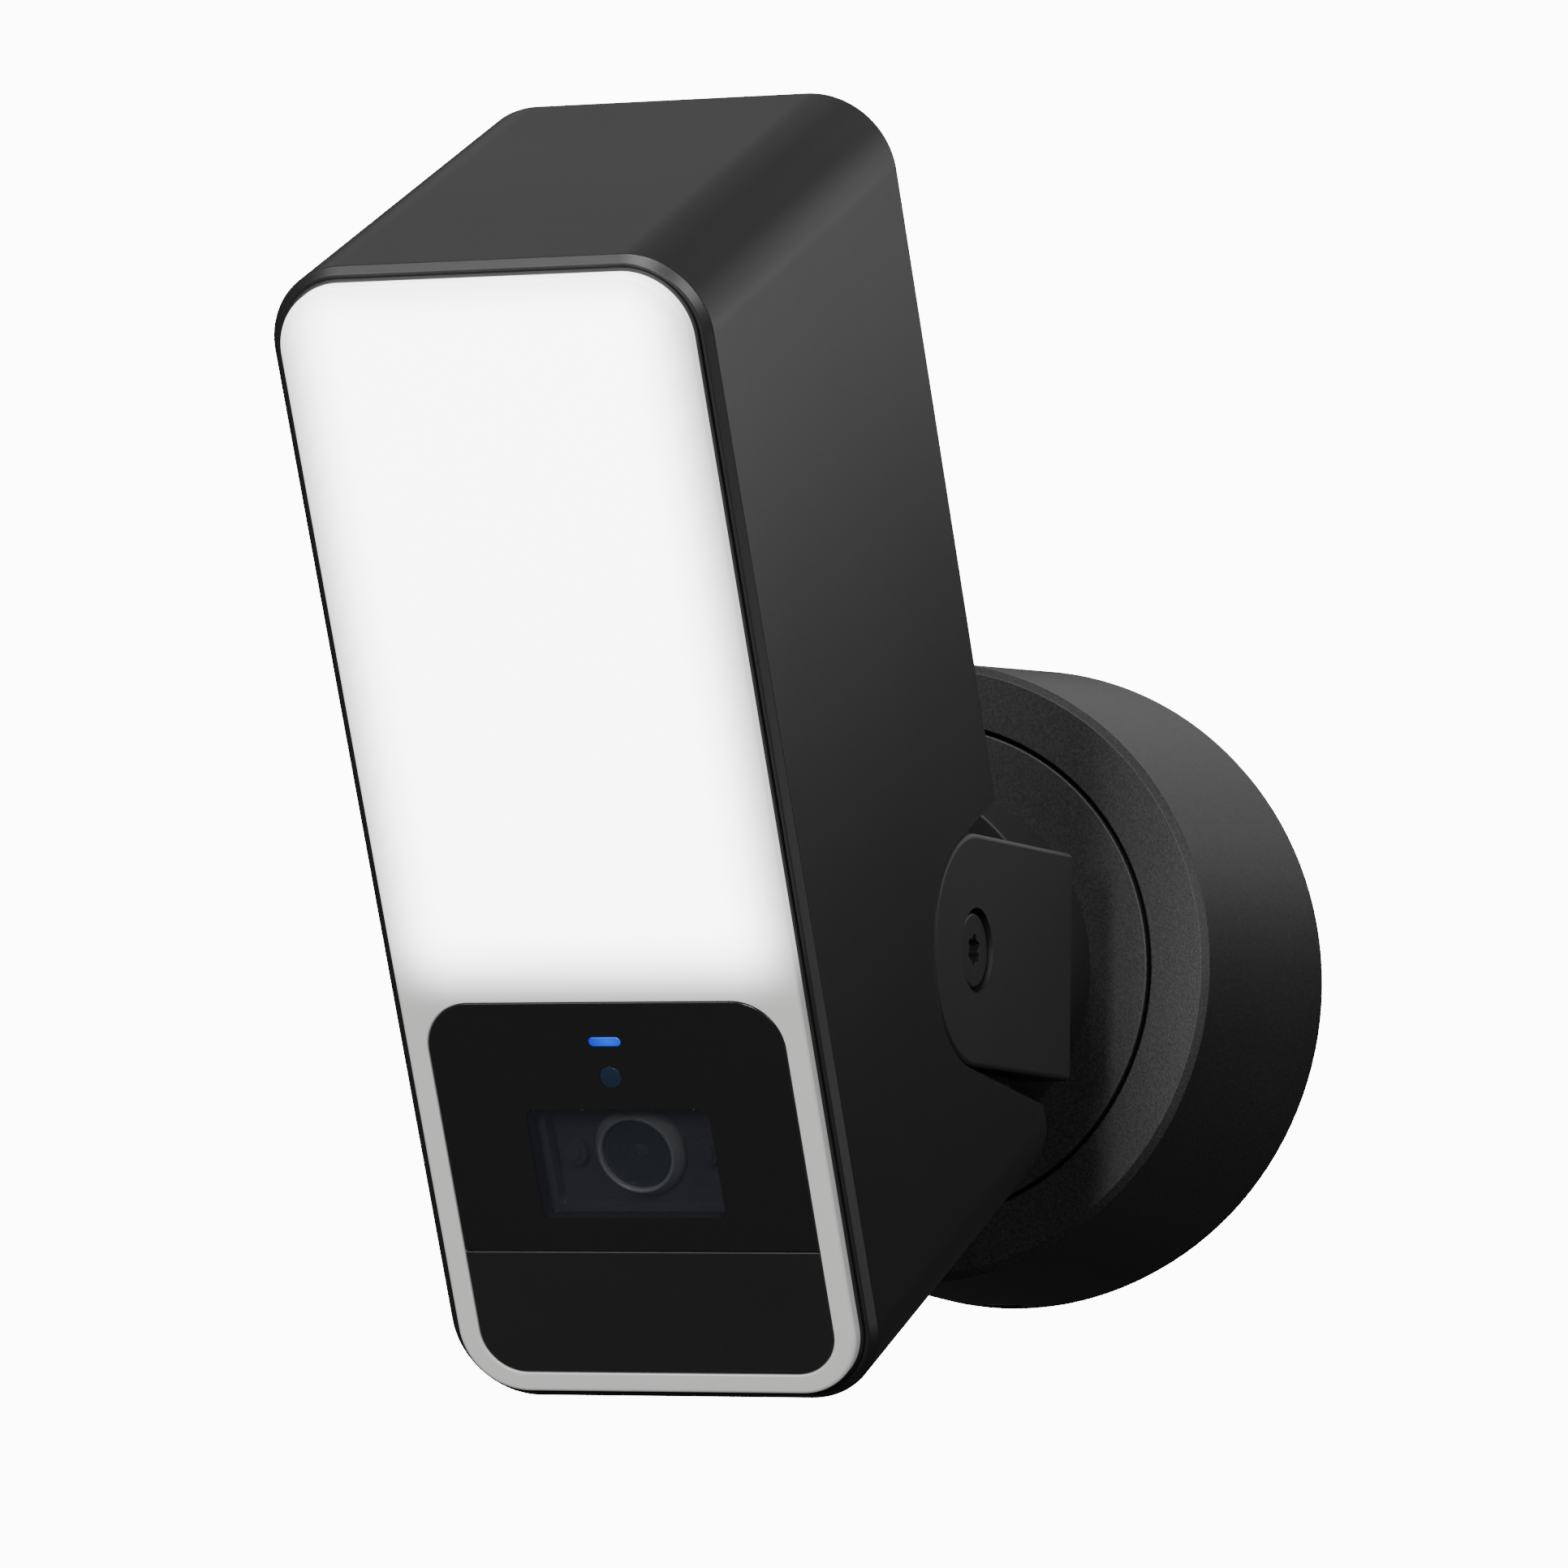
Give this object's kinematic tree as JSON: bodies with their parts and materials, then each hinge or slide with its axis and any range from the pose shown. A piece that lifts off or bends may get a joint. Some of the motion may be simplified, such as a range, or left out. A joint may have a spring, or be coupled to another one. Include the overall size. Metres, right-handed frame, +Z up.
{
  "type": "floodlight security camera",
  "caption": "Wall-mounted floodlight with a built-in camera: tall lamp head with an opal light cover and a black sensor panel, tilting in a yoke on a round swivelling base.",
  "frame": {"origin": "on the wall plane, on the axis of the round base", "axes": "+Z up, +Y into the wall, the lamp faces -Y; +X is to the right when facing the lamp"},
  "size_m": [0.116, 0.2457, 0.2141],
  "materials": {
    "black_casting": "fine textured powder coat, semi-matte black",
    "base_moulding": "finely sparked black plastic",
    "opal_cover": "satin opal polycarbonate",
    "gloss_black": "polished black",
    "matte_black": "matte black",
    "seal_rubber": "black rubber",
    "white_plastic": "white plastic",
    "circuit_board": "green solder mask",
    "chips": "dark component packages",
    "led_yellow": "phosphor of the light chips",
    "status_blue": "lit blue light guide",
    "clear_pane": "smoked clear pane",
    "lens_glass": "coated lens glass",
    "bare_metal": "plain aluminium",
    "plated_steel": "zinc-plated steel",
    "black_steel": "blackened steel",
    "brass": "brass",
    "nylon": "natural nylon"
  },
  "bodies": {
    "root": {"base_cover": "base_moulding", "wall_plate": "plated_steel", "wall_gasket": "seal_rubber", "cable_grommet": "seal_rubber", "terminal_block": "white_plastic", "terminal_screws": "brass", "driver_board": "circuit_board", "driver_parts": "chips", "cover_screws": "plated_steel", "bearing_bush": "brass", "friction_washer": "nylon", "swivel_seal": "seal_rubber", "bearing_washer": "nylon"},
    "swivel": {"turntable": "base_moulding", "swivel_spindle": "plated_steel", "retaining_ring": "plated_steel", "turntable_screws": "plated_steel", "yoke": "black_casting", "hub_grommet": "seal_rubber"},
    "head": {"head_shell": "black_casting", "pivot_screws": "black_steel", "tilt_washers": "nylon", "front_gasket": "seal_rubber", "light_cover": "opal_cover", "led_tray": "white_plastic", "led_board": "white_plastic", "led_chips": "led_yellow", "heat_spreader": "bare_metal", "chassis": "matte_black", "chassis_screws": "plated_steel", "main_board": "circuit_board", "main_board_parts": "chips", "radio_shield": "bare_metal", "antenna": "brass", "head_grommet": "seal_rubber", "camera_panel": "gloss_black", "motion_sensor_cover": "matte_black", "camera_housing": "matte_black", "camera_window": "clear_pane", "status_light_guide": "status_blue", "light_sensor_window": "lens_glass", "sensor_board": "circuit_board", "microphone": "brass", "lens_ring": "black_steel", "lens_front_glass": "lens_glass", "lens_barrel": "matte_black", "rear_lens": "lens_glass", "lens_holder": "matte_black", "infrared_leds": "gloss_black", "image_sensor": "chips", "image_board": "circuit_board", "motion_sensor": "bare_metal", "motion_sensor_board": "circuit_board", "speaker": "chips", "speaker_gasket": "seal_rubber", "reset_switch": "chips"},
    "filter_slide": {"infrared_cut_filter": "clear_pane"},
    "button": {"reset_button": "seal_rubber"}
  },
  "joints": [
    {"name": "base_swivel", "type": "hinge", "parent": "root", "child": "swivel", "pos_m": [0, -0.0532, 0], "axis": [0, -1, 0], "range_deg": [-90, 90]},
    {"name": "head_tilt", "type": "hinge", "parent": "swivel", "child": "head", "pos_m": [0, -0.1205, -0.001], "axis": [1, 0, 0], "range_deg": [-26, 7]},
    {"name": "filter_travel", "type": "slide", "parent": "head", "child": "filter_slide", "axis": [1, 0, 0], "range_m": [0, 0.007]},
    {"name": "reset_press", "type": "slide", "parent": "head", "child": "button", "axis": [0, -0.4415, 0.8973], "range_m": [0, 0.0008], "stiffness_N_per_m": 900}
  ]
}
